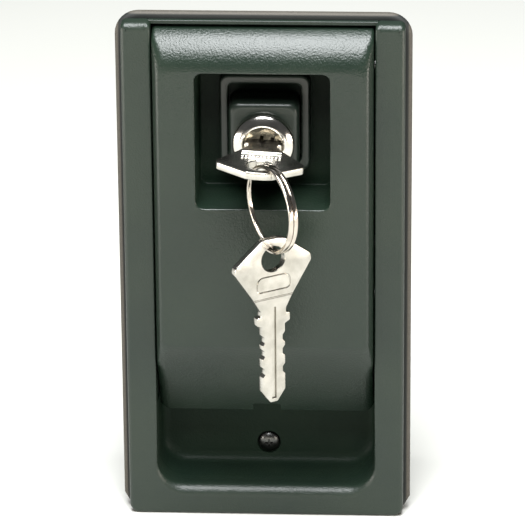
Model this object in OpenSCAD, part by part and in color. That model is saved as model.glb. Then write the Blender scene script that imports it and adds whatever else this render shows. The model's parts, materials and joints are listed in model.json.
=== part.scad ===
// Lockable wall-hung bait station. The front door hinges at its top and is held by a cam lock.
// X is to the right, Y points back into the wall, Z is up. The origin is on the wall face.

/* [Box] */
// Width of the front frame
frame_w = 84; // [84:1:110]
// Height of the front frame
frame_h = 158.8; // [158:1:200]
// Height of the door's hinge axis above the origin
hinge_z = 61; // [61:0.5:80]
// Depth from the wall to the rails' front plane
box_d = 45; // [44:1:70]
// Wall thickness of the rear housing
tub_wall = 2.3; // [1.8:0.1:3]
// Thickness of the wall-side face of the rear housing
back_wall = 2.5; // [2:0.1:4]

/* [Front frame] */
// Width of each side rail
rail_w = 8.8; // [7:0.1:12]
// Thickness of the rails, front to back
rail_t = 5; // [4:0.5:7]
// Height of the bottom bar
bottom_bar_h = 9.3; // [8:0.1:14]
// Thickness of the rim gasket
rim_t = 3; // [2:0.5:5]
// Amount that the rim gasket stands out past the frame
rim_margin = 2; // [1:0.1:4]
// Wall of the finger pocket
pocket_wall = 2; // [1.6:0.1:2.6]
// Depth of the finger pocket behind the rails' front plane
pocket_d = 20; // [16:0.5:22]

/* [Door] */
// Gap between the door and the rails
door_gap = 0.4; // [0.3:0.1:1]
// Amount that the panel stands out past the rails
panel_proud = 5; // [3:0.5:7]
// Wall of the door shell
door_wall = 2.4; // [1.8:0.1:3]
// Draft of the panel's sides, per side
panel_draft = 1.6; // [0.5:0.1:2.5]
// Depth of the hinge axis behind the rails' front plane
hinge_q = 7.9; // [7:0.1:9]
// Height of the inclined grip face
grip_h = 26.4; // [20:0.1:30]
// Distance from the bottom of the frame up to the door's lower edge
pocket_open_h = 31; // [28:0.1:36]
// Radius of a hinge pin
pin_r = 1.5; // [1.2:0.1:2]
// Length of a hinge pin
pin_len = 9; // [8:0.5:10]

/* [Lock] */
// Width of the square lock well
well_w = 40; // [38:0.5:44]
// Height of the lock well
well_h = 42.3; // [40:0.1:46]
// Depth of the well's floor behind the rails' front plane
well_d = 16; // [14:0.5:17]
// Height of the lock's axis below the hinge axis
lock_drop = 22.9; // [21:0.1:26]
// Radius of the lock's head
lock_head_r = 9.2; // [8.8:0.1:10]
// Radius of the lock's threaded barrel
lock_barrel_r = 7.5; // [7:0.1:8]
// Radius of the turning plug
plug_r = 5.9; // [5.8:0.1:6.2]
// Distance from the lock's axis to the cam's tip
cam_reach = 30; // [26:0.5:31]

/* [Keys] */
// Width of a key's bow
bow_w = 26.6; // [24:0.1:28]
// Height of a key's bow
bow_h = 18.2; // [16:0.1:20]
// Thickness of a key
key_t = 2.3; // [1.8:0.1:2.6]
// Length of a key's blade
blade_l = 24.5; // [20:0.1:26]
// Mean radius of the split ring
ring_r = 12.8; // [12:0.1:18]
// Angle by which the open plug and its key are off level
plug_tilt = 3.5; // [0:0.5:6]

/* [Bait] */
// Width of the animals' entry in each side wall
entry_w = 17; // [14:0.5:18]
// Height of the animals' entry
entry_h = 24; // [18:0.5:28]
// Width of a bait block
block_w = 18; // [14:0.5:19]
// Height of a bait block
block_h = 16; // [12:0.5:16]
// Depth of a bait block
block_d = 18; // [14:0.5:20]
// Radius of a bait rod
rod_r = 1.9; // [1.5:0.1:2.2]

/* [Wall fixing] */
// Distance between the wall holes across the box
wall_hole_x = 56; // [50:1:60]
// Distance between the wall holes up the box
wall_hole_z = 68; // [60:1:70]
// Radius of a wall hole
wall_hole_r = 2.4; // [1.8:0.1:2.8]

/* [Hidden] */
$fn = 64;
eps = 0.01;
big = 400;

// Heights. The top of the frame lies a fixed way above the hinge axis.
half_w = frame_w / 2;
top_z = hinge_z + 14.5;
bottom_z = top_z - frame_h;
pocket_floor_z = bottom_z + bottom_bar_h;
door_low_z = bottom_z + pocket_open_h;
panel_low_z = door_low_z + grip_h;
pocket_top_z = door_low_z + 14.3;
pocket_screw_z = pocket_floor_z + 6.3;
pocket_corner_r = 8;
lock_z = hinge_z - lock_drop;

// Depths. A depth q is measured forward from the rails' front plane.
function y_at(q) = -(box_d + q);
hinge_y = y_at(-hinge_q);
roll_r = panel_proud + hinge_q;
roll_gap = 0.4;
pin_inset = 3;
hinge_boss_l = 6;
hinge_boss_wall = 2.2;
frame_back_y = y_at(-rail_t);
rim_back_y = y_at(-rail_t - rim_t);
pocket_back_y = y_at(-pocket_d);
pocket_rear_y = pocket_back_y + pocket_wall;
pocket_seat_y = pocket_back_y + 0.8;
door_half = half_w - rail_w - door_gap;
panel_half = door_half - panel_draft;
door_in_half = door_half - door_wall;
skirt_q = -10;
roof_front_y = y_at(skirt_q) + 0.5;
grip_low_q = -10;
notch_w = 8.6;
notch_h = 2.6;
bar_front_q = -3.5;
// The roof's lip stops just behind the inside of the grip face at its own height.
roof_q = grip_low_q + (pocket_top_z - door_low_z) * (panel_proud - grip_low_q) / grip_h;
roof_lip_y = y_at(roof_q) + door_wall * 1.2 + 1.1;

// Rim gasket: round at the top, chamfered at the bottom
rim_corner_r = 7;
rim_chamfer_x = 3;
rim_chamfer_z = 4.5;

// Rear housing
tub_half = half_w - 0.5;
tub_in_half = tub_half - tub_wall;
tub_top_front = top_z + 0.9;
tub_top_back = tub_top_front - (box_d - rail_t - rim_t) * 0.346;
tub_floor_z = bottom_z + tub_wall;
tub_y0 = rim_back_y;

// Frame fixings
post_r = 2.5;
screw_boss_r = 4;
post_x = tub_in_half - post_r - 0.1;
post_low_z = bottom_z + 7;
post_high_z = hinge_z - 9;
post_split_y = tub_y0 + 18;
cheek_h = 10;
cheek_reach = 4.5;
web_t = 1.6;
web_d = 8.5;
pilot_r = 1.3;
screw_r = 1.3;
screw_head_r = 2.3;
screw_head_t = 1.6;
pocket_head_r = 3.4;
head_sink = 1.5;

// Lock stack, along the depth
head_front_q = 2;
head_t = 4.5;
head_bevel = 1.5;
head_dish = 0.7;
boss_front_q = head_front_q - head_t;
plug_face_q = -0.7;
well_back_q = -well_d - door_wall;
washer_t = 1;
washer_lip = 3;
nut_lip = 3.6;
nut_t = 4;
barrel_free_l = 3.6;
barrel_end_q = well_back_q - washer_t - nut_t - barrel_free_l;
cam_front_q = barrel_end_q - 0.5;
cam_t = 2.3;
cam_w = 10;
drive = 6;
fit = 0.05;
surround_w = 27;
surround_h = 30;
surround_low_z = lock_z - 11.6;
surround_front_q = -9.4;
surround_wall = 2.6;
recess_w = surround_w - 2 * surround_wall;
recess_floor_q = -14;
boss_w = 21;
boss_low_z = lock_z - 8.9;
boss_high_z = lock_z + 12.1;
well_low_z = lock_z - 18.8;
well_high_z = well_low_z + well_h;
well_corner_r = 2.4;

// Strike and bait room
strike_h = 8;
strike_z = lock_z - cam_reach + 1 + strike_h / 2;
strike_t = 2;
strike_gap = 0.9;
strike_front_y = y_at(cam_front_q) - strike_gap - strike_t;
strike_post_w = 9;
strike_screw_x = tub_in_half - 5.5;
shelf_t = 1.6;
shelf_top_z = pocket_top_z + pocket_wall;
passage_w = 24;
passage_x = -tub_in_half + 3;
tray_low_x = passage_x + passage_w + 3.3;
tray_high_x = half_w - rail_w - 0.5;
tray_h = 7;
tray_wall = 1.5;
rod_len = 2 * tub_in_half - 0.4;
rod_lower_z = shelf_top_z + tray_h + 10.5;
rod_upper_z = rod_lower_z + block_h + 1;
rod_y = pocket_rear_y + 1;
rod_hole_r = rod_r + 1;
rack_t = 3;
block_pitch = block_w + 1.6;
block_x = tray_low_x + block_w / 2 + 1.2;

// Keys and ring
key_top_q = 27;
key_hole_r = 3.9;
hole_drop = key_hole_r + 2.6;
neck_l = 6;
lug_l = 3.5;
lug_w = 11.2;
blade_w = 7.8;
neck_w = 8.6;
notch_drops = [4.2, 8.6, 14.4];
ring_half_w = 1.45;
ring_half_t = 0.6;
ring_yaw = 57;
ring_gap = 0.5;
ring_rise = 0.1915 * ring_r;
function ring_reach(r, z) = sqrt(r * r - z * z);
ring_reach_in = ring_reach(ring_r - ring_half_t, ring_r - ring_rise + key_t / 2);
ring_reach_out = ring_reach(ring_r + ring_half_t, ring_r - ring_rise - key_t / 2);
ring_hang = (ring_reach_in + ring_reach_out) / 2 - 0.35;
ring_x = ring_hang * cos(ring_yaw);
ring_q = key_top_q - hole_drop + ring_hang * sin(ring_yaw);
ring_z = lock_z - ring_r + ring_rise;
ring_sag = sqrt(key_hole_r * key_hole_r - ring_half_w * ring_half_w);
spare_hole_z = ring_z - ring_r + ring_half_t - ring_sag + ring_gap;
entry_y = -back_wall - 1.2 - entry_w / 2;
entry_z = bottom_z + 7 + entry_h / 2;

// ---------- shapes used by several pieces ----------

// Rectangle with its corner at [x0, z0], its round corners made of circles
module round_rect(x0, z0, x1, z1, r) {
  translate([x0 + r, z0]) square([x1 - x0 - 2 * r, z1 - z0]);
  translate([x0, z0 + r]) square([x1 - x0, z1 - z0 - 2 * r]);
  for (x = [x0 + r, x1 - r], z = [z0 + r, z1 - r]) translate([x, z]) circle(r = r);
}

// Stands a drawing of X and Z upright and gives it the depth from y0 back to y1
module slab(y0, y1) {
  translate([0, y1, 0]) rotate([90, 0, 0]) linear_extrude(height = y1 - y0) children();
}

// Gives a drawing of Y and Z the width from x0 to x1
module band(x0, x1) {
  translate([x0, 0, 0]) rotate([90, 0, 90]) linear_extrude(height = x1 - x0) children();
}

// Cylinder along Y from y0 back to y1
module rod_y_axis(x, z, r, y0, y1) {
  translate([x, y1, z]) rotate([90, 0, 0]) cylinder(r = r, h = y1 - y0);
}

// Cylinder along X from x0 to x1
module rod_x_axis(y, z, r, x0, x1) {
  translate([x0, y, z]) rotate([0, 90, 0]) cylinder(r = r, h = x1 - x0);
}

// Space that the door's rolled top sweeps
module roll_space(gap) {
  rod_x_axis(hinge_y, hinge_z, roll_r + gap, -door_half - door_gap, door_half + door_gap);
}

module pan_screw(x, z, head_y, length) {
  rod_y_axis(x, z, screw_head_r, head_y - screw_head_t, head_y);
  rod_y_axis(x, z, screw_r, head_y - eps, head_y + length);
}

// ---------- housing ----------

module tub_profile(inset) {
  polygon([
    [tub_y0 - (inset > 0 ? 1 : 0), bottom_z + inset],
    [-(inset > 0 ? back_wall : 0), bottom_z + inset],
    [-(inset > 0 ? back_wall : 0), tub_top_back - inset * 1.06],
    [tub_y0, tub_top_front - inset * 1.06],
    [tub_y0 - (inset > 0 ? 1 : 0), tub_top_front - inset * 1.06]
  ]);
}

module wall_hole_places() {
  for (x = [-1, 1], z = [0, 1])
    translate([x * wall_hole_x / 2, 0, lock_z + 13 - z * wall_hole_z]) children();
}

module rear_housing() {
  color("#33383a") difference() {
    union() {
      difference() {
        band(-tub_half, tub_half) tub_profile(0);
        band(-tub_in_half, tub_in_half) tub_profile(tub_wall);
      }
      for (s = [-1, 1], z = [post_low_z, post_high_z])
        rod_y_axis(s * post_x, z, post_r, post_split_y, -back_wall + eps);
      for (s = [-1, 1])
        translate([s * strike_screw_x - strike_post_w / 2, strike_front_y + strike_t, strike_z - strike_h / 2])
          cube([strike_post_w, -strike_front_y - strike_t - back_wall + eps, strike_h]);
      for (s = [-1, 1], z = [rod_lower_z, rod_upper_z]) rod_rack(s, z);
      for (s = [-1, 1]) shelf_ledge(s);
      translate([0, pocket_rear_y, pocket_screw_z]) rotate([-90, 0, 0])
        cylinder(r = screw_boss_r, h = -pocket_rear_y - back_wall + eps);
    }
    roll_space(roll_gap);
    for (s = [-1, 1]) {
      band(s > 0 ? tub_in_half - 1 : -tub_half - 1, s > 0 ? tub_half + 1 : -tub_in_half + 1)
        round_rect(entry_y - entry_w / 2, entry_z - entry_h / 2,
          entry_y + entry_w / 2, entry_z + entry_h / 2, entry_w / 2 - 1);
      for (z = [post_low_z, post_high_z]) {
        rod_y_axis(s * post_x, z, screw_r, post_split_y - 1, 1);
        rod_y_axis(s * post_x, z, screw_head_r + 0.1, -back_wall - head_sink, 1);
      }
      rod_y_axis(s * strike_screw_x, strike_z, screw_r, strike_front_y, strike_front_y + 12);
    }
    rod_y_axis(0, pocket_screw_z, screw_r, pocket_rear_y - 1, pocket_rear_y + 12);
    wall_hole_places() rod_y_axis(0, 0, wall_hole_r, -back_wall - 1, 1);
  }
}

// Rib with a notch that is open to the front, where a bait rod's end rests
module rod_rack(side, z) {
  x0 = side > 0 ? tub_in_half - rack_t : -tub_in_half - eps;
  x1 = side > 0 ? tub_in_half + eps : -tub_in_half + rack_t;
  difference() {
    translate([x0, rod_y - 5, z - 4]) cube([x1 - x0, 5 - rod_y - back_wall + eps, 8]);
    rod_x_axis(rod_y, z, rod_r, x0 - 1, x1 + 1);
    translate([x0 - 1, rod_y - 6, z - rod_r]) cube([x1 - x0 + 2, 6, 2 * rod_r]);
  }
}

// Ledge under the baffle shelf
module shelf_ledge(side) {
  x0 = side > 0 ? tub_in_half - 2.5 : -tub_in_half - eps;
  translate([x0, pocket_rear_y + 0.5, shelf_top_z - shelf_t - 2])
    cube([2.5 + eps, -pocket_rear_y - 0.5 - back_wall + eps, 2]);
}

module rim_gasket() {
  low_w = half_w + rim_margin;
  low_z = bottom_z + rim_chamfer_z;
  color("#6b5f56") slab(frame_back_y, rim_back_y) difference() {
    union() {
      round_rect(-low_w, low_z, low_w, top_z + rim_margin, rim_corner_r);
      polygon([
        [-low_w, bottom_z + 20], [-low_w, low_z], [-low_w + rim_chamfer_x, bottom_z],
        [low_w - rim_chamfer_x, bottom_z], [low_w, low_z], [low_w, bottom_z + 20]
      ]);
    }
    translate([-tub_in_half, tub_floor_z])
      square([2 * tub_in_half, hinge_z + roll_r + roll_gap - tub_floor_z]);
  }
}

module pocket_outline(grow) {
  x = half_w - rail_w + grow;
  z0 = pocket_floor_z - grow;
  r = pocket_corner_r + grow;
  difference() {
    round_rect(-x, z0, x, pocket_top_z + 20, r);
    translate([-x - 1, pocket_top_z + grow]) square([2 * x + 2, 40]);
  }
}

module front_frame() {
  inner = half_w - rail_w;
  color("#4c534c") union() {
    frame_moulding(inner);
    roof_lip();
  }
}

module frame_moulding(inner) {
  difference() {
    union() {
      slab(y_at(0), frame_back_y) difference() {
        union() {
          round_rect(-half_w, bottom_z, half_w, bottom_z + 40, 3);
          translate([-half_w, bottom_z + 20]) square([frame_w, frame_h - 20 - 1]);
          translate([-half_w + 1, top_z - 2]) square([frame_w - 2, 2]);
          for (s = [-1, 1]) translate([s * (half_w - 1), top_z - 1]) circle(r = 1);
        }
        translate([-inner, pocket_floor_z + 20]) square([2 * inner, big]);
        pocket_outline(0);
      }
      slab(y_at(bar_front_q), frame_back_y)
        translate([-inner - 1, top_z - 3]) square([2 * inner + 2, 3]);
      slab(frame_back_y - 2, pocket_rear_y) pocket_outline(pocket_wall);
      for (s = [-1, 1]) hinge_cheek(s);
      for (s = [-1, 1], z = [post_low_z, post_high_z])
        rod_y_axis(s * post_x, z, post_r, frame_back_y - 1, post_split_y);
      for (s = [-1, 1]) jamb_web(s);
    }
    slab(y_at(1), pocket_back_y) pocket_outline(0);
    slab(y_at(1), roof_front_y) translate([-inner, pocket_top_z - 1]) square([2 * inner, 20]);
    roll_space(roll_gap);
    slab(y_at(1), hinge_y) translate([-inner, hinge_z]) square([2 * inner, roll_r + roll_gap]);
    for (s = [-1, 1]) {
      rod_x_axis(hinge_y, hinge_z, pin_r,
        s > 0 ? inner - 1 : pin_inset - half_w, s > 0 ? half_w - pin_inset : 1 - inner);
      for (z = [post_low_z, post_high_z])
        rod_y_axis(s * post_x, z, pilot_r, post_split_y - 9, post_split_y + 1);
    }
    rod_y_axis(0, pocket_screw_z, screw_r, pocket_back_y - 1, pocket_rear_y + 1);
    rod_y_axis(0, pocket_screw_z, pocket_head_r + 0.3, pocket_back_y - 1, pocket_seat_y);
  }
}

// Lip that carries the pocket's roof forward between the door's side walls
module roof_lip() {
  x = door_in_half - 0.6;
  translate([-x, roof_lip_y, pocket_top_z]) cube([2 * x, roof_front_y - roof_lip_y + 1, pocket_wall]);
}

// Cheek behind a rail that holds one hinge pin
module hinge_cheek(side) {
  inner = half_w - rail_w;
  x0 = side > 0 ? inner : -tub_in_half + 0.1;
  translate([x0, frame_back_y - 1, hinge_z - cheek_h / 2])
    cube([tub_in_half - 0.1 - inner, hinge_y - frame_back_y + 1 + cheek_reach, cheek_h]);
}

// Web between a fixing post and the rail
module jamb_web(side) {
  inner = half_w - rail_w;
  x0 = side > 0 ? inner : -inner - web_t;
  translate([x0, frame_back_y - 1, pocket_top_z - pocket_wall])
    cube([web_t, web_d, hinge_z - pocket_top_z]);
}

module frame_screws() {
  color("silver") for (s = [-1, 1], z = [post_low_z, post_high_z]) translate([s * post_x, 0, z]) {
    rod_y_axis(0, 0, screw_head_r, -back_wall - head_sink, -back_wall - head_sink + screw_head_t);
    rod_y_axis(0, 0, pilot_r, post_split_y - 8, -back_wall - head_sink + eps);
  }
}

module pocket_screw() {
  color("silver") difference() {
    union() {
      rod_y_axis(0, pocket_screw_z, pocket_head_r, pocket_seat_y - screw_head_t, pocket_seat_y);
      rod_y_axis(0, pocket_screw_z, screw_r, pocket_seat_y - eps, pocket_rear_y + 11);
    }
    for (turn = [0, 90]) translate([0, pocket_seat_y - screw_head_t - 1, pocket_screw_z])
      rotate([0, turn, 0]) translate([-2, 0, -0.3]) cube([4, 1.8, 0.6]);
  }
}

module hinge_pin(side) {
  x1 = half_w - pin_inset;
  x0 = x1 - pin_len - pin_inset;
  color("silver") rod_x_axis(hinge_y, hinge_z, pin_r, side > 0 ? x0 : -x1, side > 0 ? x1 : -x0);
}
module hinge_pin_left() { hinge_pin(-1); }
module hinge_pin_right() { hinge_pin(1); }

module strike_bar() {
  color("silver") difference() {
    translate([-strike_screw_x - 4, strike_front_y, strike_z - strike_h / 2])
      cube([2 * strike_screw_x + 8, strike_t, strike_h]);
    for (s = [-1, 1])
      rod_y_axis(s * strike_screw_x, strike_z, screw_r, strike_front_y - 1, strike_front_y + strike_t + 1);
  }
}

module strike_screws() {
  color("silver") for (s = [-1, 1]) pan_screw(s * strike_screw_x, strike_z, strike_front_y, 11);
}

module baffle_shelf() {
  y0 = pocket_rear_y + 0.2;
  color("#3a3f40") difference() {
    translate([-tub_in_half + 0.2, y0, shelf_top_z - shelf_t])
      cube([2 * tub_in_half - 0.4, -back_wall - 0.2 - y0, shelf_t]);
    translate([passage_x, y0 + 1.5, shelf_top_z - shelf_t - 1])
      cube([passage_w, -back_wall - 3.2 - y0, shelf_t + 2]);
  }
}

module bait_tray() {
  y0 = rod_y - block_d / 2 - 2.5;
  y1 = rod_y + block_d / 2 + 2.5;
  color("#22282a") difference() {
    translate([tray_low_x, y0, shelf_top_z + 0.02]) cube([tray_high_x - tray_low_x, y1 - y0, tray_h]);
    translate([tray_low_x + tray_wall, y0 + tray_wall, shelf_top_z + tray_wall])
      cube([tray_high_x - tray_low_x - 2 * tray_wall, y1 - y0 - 2 * tray_wall, tray_h]);
  }
}

module bait_rod(z) {
  color("silver") rod_x_axis(rod_y, z, rod_r, -rod_len / 2, rod_len / 2);
}
module bait_rod_lower() { bait_rod(rod_lower_z); }
module bait_rod_upper() { bait_rod(rod_upper_z); }

// Extruded wax block that hangs on its rod by a hole a little wider than the rod
module bait_block(column, z) {
  x = block_x + column * block_pitch;
  drop = rod_hole_r - rod_r - 0.02;
  color("#2f8f86") difference() {
    band(x - block_w / 2, x + block_w / 2)
      round_rect(rod_y - block_d / 2, z - drop - block_h / 2,
        rod_y + block_d / 2, z - drop + block_h / 2, 2);
    rod_x_axis(rod_y, z - drop, rod_hole_r, x - block_w, x + block_w);
  }
}
module bait_block_1() { bait_block(0, rod_lower_z); }
module bait_block_2() { bait_block(1, rod_lower_z); }
module bait_block_3() { bait_block(0, rod_upper_z); }
module bait_block_4() { bait_block(1, rod_upper_z); }

// Rubber pads on the pocket's roof that the grip face closes against
module door_bumpers() {
  color("#1c1f20") for (s = [-1, 1])
    translate([s * 24 - 4, roof_lip_y + 0.6, pocket_top_z + pocket_wall]) cube([8, 4, 2]);
}

// ---------- door ----------

// Side view of the door's outside: rolled top, flat panel, inclined grip face
module door_outer(inset) {
  r = roll_r - inset;
  q1 = panel_proud - inset;
  slope = grip_h / (panel_proud - grip_low_q);
  cut = inset * (sqrt(1 + slope * slope) - 1) / slope;
  difference() {
    translate([hinge_y, hinge_z]) circle(r = r, $fn = 128);
    translate([hinge_y, hinge_z - 2 * r]) square([2 * r, 4 * r]);
    translate([hinge_y - 2 * r, hinge_z - 2 * r]) square([4 * r, 2 * r]);
  }
  polygon([
    [y_at(q1), hinge_z],
    [y_at(skirt_q - (inset > 0 ? 5 : 0)), hinge_z],
    [y_at(skirt_q - (inset > 0 ? 5 : 0)), door_low_z + (inset > 0 ? 2 : 0)],
    [y_at(grip_low_q - inset), door_low_z + (inset > 0 ? inset * 0.6 : 0)],
    [y_at(q1), panel_low_z + cut]
  ]);
}

// Front view of the door. The sides lean in towards the panel's face.
module door_draft(inset) {
  x0 = door_half - inset;
  x1 = panel_half - inset;
  translate([0, 0, -big / 2]) linear_extrude(height = big)
    polygon([
      [-x1, y_at(panel_proud)], [x1, y_at(panel_proud)], [x0, y_at(0)], [x0, 0], [-x0, 0], [-x0, y_at(0)]
    ]);
}

module door_solid(inset) {
  intersection() {
    band(-door_half, door_half) door_outer(inset);
    door_draft(inset);
  }
}

module door_shell() {
  boss_x = door_in_half - hinge_boss_l;
  color("#454e47") difference() {
    union() {
      difference() {
        door_solid(0);
        door_solid(door_wall);
        translate([-big / 2, y_at(skirt_q), -big / 2]) cube([big, big, big]);
      }
      slab(y_at(panel_proud - 1), y_at(well_back_q))
        round_rect(-well_w / 2 - door_wall, well_low_z - door_wall,
          well_w / 2 + door_wall, well_high_z + door_wall - 0.6, 4);
      for (s = [-1, 1]) {
        rod_x_axis(hinge_y, hinge_z, pin_r + hinge_boss_wall,
          s > 0 ? boss_x : -door_in_half - 1, s > 0 ? door_in_half + 1 : -boss_x);
        translate([s > 0 ? boss_x : -door_in_half - 1, hinge_y - roll_r + 1, hinge_z - 1.2])
          cube([hinge_boss_l + 1, roll_r - 1, 2.4]);
      }
    }
    slab(y_at(panel_proud + 1), y_at(-well_d))
      round_rect(-well_w / 2, well_low_z, well_w / 2, well_high_z, well_corner_r);
    rod_x_axis(hinge_y, hinge_z, pin_r + fit, -door_half - 1, -boss_x + 1);
    rod_x_axis(hinge_y, hinge_z, pin_r + fit, boss_x - 1, door_half + 1);
    rod_y_axis(0, lock_z, lock_barrel_r, y_at(-well_d) - 1, y_at(well_back_q) + 1);
    translate([-notch_w / 2, y_at(10), door_low_z - 1]) cube([notch_w, 30, notch_h + 1]);
  }
}

// Collar in the well and the boss that the lock's head sits on
module lock_surround() {
  color("#3b423d") difference() {
    union() {
      difference() {
        slab(y_at(surround_front_q), y_at(-well_d))
          round_rect(-surround_w / 2, surround_low_z, surround_w / 2, surround_low_z + surround_h, 2.5);
        slab(y_at(surround_front_q + 1), y_at(recess_floor_q))
          round_rect(-recess_w / 2, surround_low_z + surround_wall,
            recess_w / 2, surround_low_z + surround_h - surround_wall, 1.6);
      }
      slab(y_at(boss_front_q), y_at(recess_floor_q) + 1)
        round_rect(-boss_w / 2, boss_low_z, boss_w / 2, boss_high_z, 3);
    }
    rod_y_axis(0, lock_z, lock_barrel_r, y_at(boss_front_q) - 1, y_at(-well_d) + 1);
  }
}

module lock_body() {
  face_y = y_at(head_front_q);
  color("#d8d8d4") difference() {
    translate([0, 0, lock_z]) rotate([90, 0, 0]) rotate_extrude() polygon([
      [plug_r + fit, -y_at(head_front_q)],
      [lock_head_r - 2.3, -y_at(head_front_q)],
      [lock_head_r, -y_at(head_front_q - head_bevel)],
      [lock_head_r, -y_at(boss_front_q)],
      [lock_barrel_r, -y_at(boss_front_q)],
      [lock_barrel_r, -y_at(barrel_end_q)],
      [plug_r + fit, -y_at(barrel_end_q)]
    ]);
    translate([0, face_y - eps, lock_z]) rotate([-90, 0, 0])
      cylinder(r1 = plug_r + 0.5, r2 = plug_r + fit, h = head_dish + eps);
  }
}

module lock_washer() {
  color("silver") difference() {
    rod_y_axis(0, lock_z, lock_barrel_r + washer_lip, y_at(well_back_q), y_at(well_back_q - washer_t));
    rod_y_axis(0, lock_z, lock_barrel_r, y_at(well_back_q) - 1, y_at(well_back_q - washer_t) + 1);
  }
}

module lock_nut() {
  color("silver") difference() {
    translate([0, y_at(well_back_q - washer_t - nut_t), lock_z]) rotate([90, 0, 0])
      cylinder(r = lock_barrel_r + nut_lip, h = nut_t, $fn = 6);
    rod_y_axis(0, lock_z, lock_barrel_r, y_at(well_back_q), y_at(well_back_q - washer_t - nut_t) + 1);
  }
}

// Turns what is inside it about the lock's axis, to where the open plug stands
module on_plug() {
  translate([0, 0, lock_z]) rotate([0, plug_tilt, 0]) translate([0, 0, -lock_z]) children();
}

// Turning plug. Its keyway lies almost level when the lock is open.
module lock_plug() {
  color("#b9b6ad") on_plug() difference() {
    union() {
      rod_y_axis(0, lock_z, plug_r, y_at(plug_face_q), y_at(cam_front_q));
      translate([-drive / 2, y_at(cam_front_q) - 1, lock_z - drive / 2]) cube([drive, cam_t + 1, drive]);
    }
    translate([-blade_w / 2 - 0.2, y_at(plug_face_q) - 1, lock_z - key_t / 2 - 0.15])
      cube([blade_w + 0.4, blade_l + 1.6, key_t + 0.3]);
    rod_y_axis(0, lock_z, 1.3, y_at(cam_front_q) - 1, y_at(cam_front_q - cam_t) + 1);
  }
}

module cam() {
  color("silver") on_plug() slab(y_at(cam_front_q), y_at(cam_front_q - cam_t)) difference() {
    union() {
      translate([0, lock_z]) circle(r = cam_w / 2 + 1.5);
      translate([0, lock_z - cam_w / 2]) square([cam_reach - cam_w / 2, cam_w]);
      translate([cam_reach - cam_w / 2, lock_z]) circle(r = cam_w / 2);
    }
    translate([-drive / 2, lock_z - drive / 2]) square(drive);
  }
}

module cam_screw() {
  y = y_at(cam_front_q - cam_t);
  color("silver") union() {
    rod_y_axis(0, lock_z, 4.6, y, y + 2);
    rod_y_axis(0, lock_z, 1.3, y - 3, y + eps);
  }
}

// ---------- keys ----------

// Key drawn flat. The bow's top is at zero and the blade points down.
module key_outline() {
  w = bow_w / 2;
  neck_z = -bow_h - neck_l;
  blade_z = neck_z - lug_l;
  tip_z = blade_z - blade_l;
  right = [
    [1.6, 0], [4, -0.5], [w - 1, -bow_h * 0.35], [w, -bow_h * 0.45], [w - 0.8, -bow_h * 0.56],
    [neck_w / 2 + 2.6, -bow_h], [neck_w / 2, neck_z + 1.5], [neck_w / 2, neck_z],
    [lug_w / 2, neck_z], [lug_w / 2, blade_z + 0.8], [blade_w / 2, blade_z],
    [blade_w / 2, tip_z + 3.6], [1.2, tip_z]
  ];
  left = [for (i = [len(right) - 1:-1:0]) [-right[i][0], right[i][1]]];
  difference() {
    polygon(concat(right, left));
    translate([0, -hole_drop]) circle(r = key_hole_r);
    for (drop = notch_drops) key_notch(blade_z - drop);
  }
}

// One flat-bottomed cut in each edge of the blade
module key_notch(z) {
  for (s = [-1, 1]) translate([s * blade_w / 2, z])
    polygon([[s * 0.1, -1.6], [s * 0.1, 1.6], [-s * 0.8, 0.7], [-s * 0.8, -0.7]]);
}

module flat_key() {
  linear_extrude(height = key_t, center = true) key_outline();
}

module inserted_key() {
  color("#cfcabb") on_plug() translate([0, y_at(key_top_q), lock_z]) rotate([180, 0, 0]) flat_key();
}

module split_ring() {
  color("#d6d3c8") translate([ring_x, y_at(ring_q), ring_z])
    rotate([0, 0, -ring_yaw]) rotate([90, 0, 0])
    rotate_extrude($fn = 96) translate([ring_r - ring_half_t, -ring_half_w])
      square([2 * ring_half_t, 2 * ring_half_w]);
}

module spare_key() {
  color("#cfcabb") translate([ring_x, y_at(ring_q), spare_hole_z + hole_drop])
    rotate([0, 0, 90 - ring_yaw]) rotate([90, 0, 0]) flat_key();
}

rear_housing();
rim_gasket();
front_frame();
frame_screws();
pocket_screw();
hinge_pin_left();
hinge_pin_right();
strike_bar();
strike_screws();
baffle_shelf();
bait_tray();
bait_rod_lower();
bait_rod_upper();
bait_block_1();
bait_block_2();
bait_block_3();
bait_block_4();
door_bumpers();
door_shell();
lock_surround();
lock_body();
lock_washer();
lock_nut();
lock_plug();
cam();
cam_screw();
inserted_key();
split_ring();
spare_key();
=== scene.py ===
# %% [markdown]
# # A locked wall box with its keys
# The box is moulded in dark plastic. Its door hinges at the top and closes with a cam lock that sits
# deep in a square well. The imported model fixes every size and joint, so the script loads it first and
# then builds each visible piece around it, with the edges and grain that a moulded part has.

# %% Load the frame
import json
import math

import bmesh
import bpy
from mathutils import Matrix, Vector


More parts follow.
